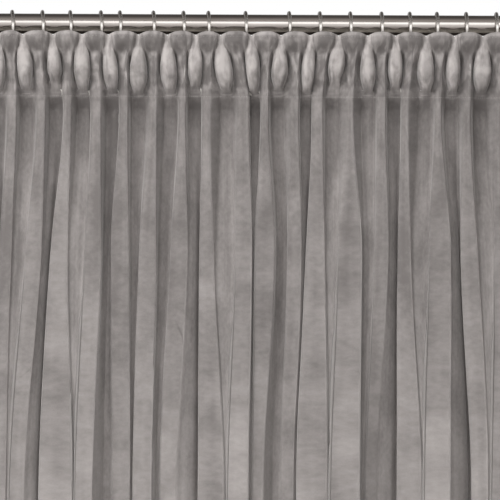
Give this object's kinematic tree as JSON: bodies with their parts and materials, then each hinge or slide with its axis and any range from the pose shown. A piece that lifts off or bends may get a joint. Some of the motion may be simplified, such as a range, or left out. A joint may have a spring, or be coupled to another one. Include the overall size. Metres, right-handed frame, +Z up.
{
  "type": "curtain panel",
  "caption": "Gathered velvet curtain panel with a pencil-pleat tape heading, hung by metal rings and wire hooks from a brushed steel pole.",
  "frame": {"origin": "on the pole's axis, at the middle of its length", "axes": "+X along the pole to the right as seen from the room, +Y towards the wall, +Z up"},
  "size_m": [1.1166, 0.0669, 1.855],
  "materials": {
    "brushed_steel": "brushed along the pole, satin",
    "satin_steel": "satin nickel plate",
    "hook_wire": "bright plated wire",
    "grey_velvet": "short-pile velvet with a soft sheen",
    "tape_cloth": "plain woven heading tape",
    "cord_cotton": "braided cord"
  },
  "bodies": {
    "pole": {"pole_tube": "brushed_steel", "pole_end_cap_left": "brushed_steel", "pole_end_cap_right": "brushed_steel"},
    "panel": {"velvet_panel": "grey_velvet", "heading_tape": "tape_cloth", "draw_cord_top": "cord_cotton", "draw_cord_bottom": "cord_cotton", "ring_01": "satin_steel", "hook_01": "hook_wire"},
    "ring_02_set": {"ring_02": "satin_steel", "hook_02": "hook_wire"},
    "ring_03_set": {"ring_03": "satin_steel", "hook_03": "hook_wire"},
    "ring_04_set": {"ring_04": "satin_steel", "hook_04": "hook_wire"},
    "ring_05_set": {"ring_05": "satin_steel", "hook_05": "hook_wire"},
    "ring_06_set": {"ring_06": "satin_steel", "hook_06": "hook_wire"},
    "ring_07_set": {"ring_07": "satin_steel", "hook_07": "hook_wire"},
    "ring_08_set": {"ring_08": "satin_steel", "hook_08": "hook_wire"},
    "ring_09_set": {"ring_09": "satin_steel", "hook_09": "hook_wire"},
    "ring_10_set": {"ring_10": "satin_steel", "hook_10": "hook_wire"},
    "ring_11_set": {"ring_11": "satin_steel", "hook_11": "hook_wire"},
    "ring_12_set": {"ring_12": "satin_steel", "hook_12": "hook_wire"},
    "ring_13_set": {"ring_13": "satin_steel", "hook_13": "hook_wire"},
    "ring_14_set": {"ring_14": "satin_steel", "hook_14": "hook_wire"},
    "ring_15_set": {"ring_15": "satin_steel", "hook_15": "hook_wire"},
    "ring_16_set": {"ring_16": "satin_steel", "hook_16": "hook_wire"},
    "ring_17_set": {"ring_17": "satin_steel", "hook_17": "hook_wire"},
    "ring_18_set": {"ring_18": "satin_steel", "hook_18": "hook_wire"},
    "ring_19_set": {"ring_19": "satin_steel", "hook_19": "hook_wire"},
    "ring_20_set": {"ring_20": "satin_steel", "hook_20": "hook_wire"},
    "ring_21_set": {"ring_21": "satin_steel", "hook_21": "hook_wire"}
  },
  "joints": [
    {"name": "panel_slide", "type": "slide", "parent": "pole", "child": "panel", "axis": [1, 0, 0], "range_m": [-0.14, 0.14]},
    {"name": "gather", "type": "slide", "parent": "panel", "child": "ring_21_set", "axis": [1, 0, 0], "range_m": [-0.44, 0], "deforming": ["velvet_panel", "heading_tape", "draw_cord_top", "draw_cord_bottom"]},
    {"name": "ring_02_slide", "type": "slide", "parent": "panel", "child": "ring_02_set", "axis": [1, 0, 0], "range_m": [-0.02026, 0.0005]},
    {"name": "ring_03_slide", "type": "slide", "parent": "panel", "child": "ring_03_set", "axis": [1, 0, 0], "range_m": [-0.04078, 0.0005]},
    {"name": "ring_04_slide", "type": "slide", "parent": "panel", "child": "ring_04_set", "axis": [1, 0, 0], "range_m": [-0.0631, 0.0005]},
    {"name": "ring_05_slide", "type": "slide", "parent": "panel", "child": "ring_05_set", "axis": [1, 0, 0], "range_m": [-0.08361, 0.0005]},
    {"name": "ring_06_slide", "type": "slide", "parent": "panel", "child": "ring_06_set", "axis": [1, 0, 0], "range_m": [-0.10624, 0.0005]},
    {"name": "ring_07_slide", "type": "slide", "parent": "panel", "child": "ring_07_set", "axis": [1, 0, 0], "range_m": [-0.12028, 0.0005]},
    {"name": "ring_08_slide", "type": "slide", "parent": "panel", "child": "ring_08_set", "axis": [1, 0, 0], "range_m": [-0.14501, 0.0005]},
    {"name": "ring_09_slide", "type": "slide", "parent": "panel", "child": "ring_09_set", "axis": [1, 0, 0], "range_m": [-0.16718, 0.0005]},
    {"name": "ring_10_slide", "type": "slide", "parent": "panel", "child": "ring_10_set", "axis": [1, 0, 0], "range_m": [-0.18559, 0.0005]},
    {"name": "ring_11_slide", "type": "slide", "parent": "panel", "child": "ring_11_set", "axis": [1, 0, 0], "range_m": [-0.21303, 0.0005]},
    {"name": "ring_12_slide", "type": "slide", "parent": "panel", "child": "ring_12_set", "axis": [1, 0, 0], "range_m": [-0.24517, 0.0005]},
    {"name": "ring_13_slide", "type": "slide", "parent": "panel", "child": "ring_13_set", "axis": [1, 0, 0], "range_m": [-0.2678, 0.0005]},
    {"name": "ring_14_slide", "type": "slide", "parent": "panel", "child": "ring_14_set", "axis": [1, 0, 0], "range_m": [-0.29027, 0.0005]},
    {"name": "ring_15_slide", "type": "slide", "parent": "panel", "child": "ring_15_set", "axis": [1, 0, 0], "range_m": [-0.31334, 0.0005]},
    {"name": "ring_16_slide", "type": "slide", "parent": "panel", "child": "ring_16_set", "axis": [1, 0, 0], "range_m": [-0.33416, 0.0005]},
    {"name": "ring_17_slide", "type": "slide", "parent": "panel", "child": "ring_17_set", "axis": [1, 0, 0], "range_m": [-0.35422, 0.0005]},
    {"name": "ring_18_slide", "type": "slide", "parent": "panel", "child": "ring_18_set", "axis": [1, 0, 0], "range_m": [-0.37579, 0.0005]},
    {"name": "ring_19_slide", "type": "slide", "parent": "panel", "child": "ring_19_set", "axis": [1, 0, 0], "range_m": [-0.39811, 0.0005]},
    {"name": "ring_20_slide", "type": "slide", "parent": "panel", "child": "ring_20_set", "axis": [1, 0, 0], "range_m": [-0.41848, 0.0005]}
  ],
  "couplings": [
    {"joint": "ring_02_slide", "follows": "gather", "ratio": 0.044913},
    {"joint": "ring_03_slide", "follows": "gather", "ratio": 0.091538},
    {"joint": "ring_04_slide", "follows": "gather", "ratio": 0.14227},
    {"joint": "ring_05_slide", "follows": "gather", "ratio": 0.1889},
    {"joint": "ring_06_slide", "follows": "gather", "ratio": 0.24031},
    {"joint": "ring_07_slide", "follows": "gather", "ratio": 0.27222},
    {"joint": "ring_08_slide", "follows": "gather", "ratio": 0.32843},
    {"joint": "ring_09_slide", "follows": "gather", "ratio": 0.37882},
    {"joint": "ring_10_slide", "follows": "gather", "ratio": 0.42065},
    {"joint": "ring_11_slide", "follows": "gather", "ratio": 0.48302},
    {"joint": "ring_12_slide", "follows": "gather", "ratio": 0.55607},
    {"joint": "ring_13_slide", "follows": "gather", "ratio": 0.60749},
    {"joint": "ring_14_slide", "follows": "gather", "ratio": 0.65856},
    {"joint": "ring_15_slide", "follows": "gather", "ratio": 0.71101},
    {"joint": "ring_16_slide", "follows": "gather", "ratio": 0.75832},
    {"joint": "ring_17_slide", "follows": "gather", "ratio": 0.80392},
    {"joint": "ring_18_slide", "follows": "gather", "ratio": 0.85294},
    {"joint": "ring_19_slide", "follows": "gather", "ratio": 0.90367},
    {"joint": "ring_20_slide", "follows": "gather", "ratio": 0.94995}
  ]
}
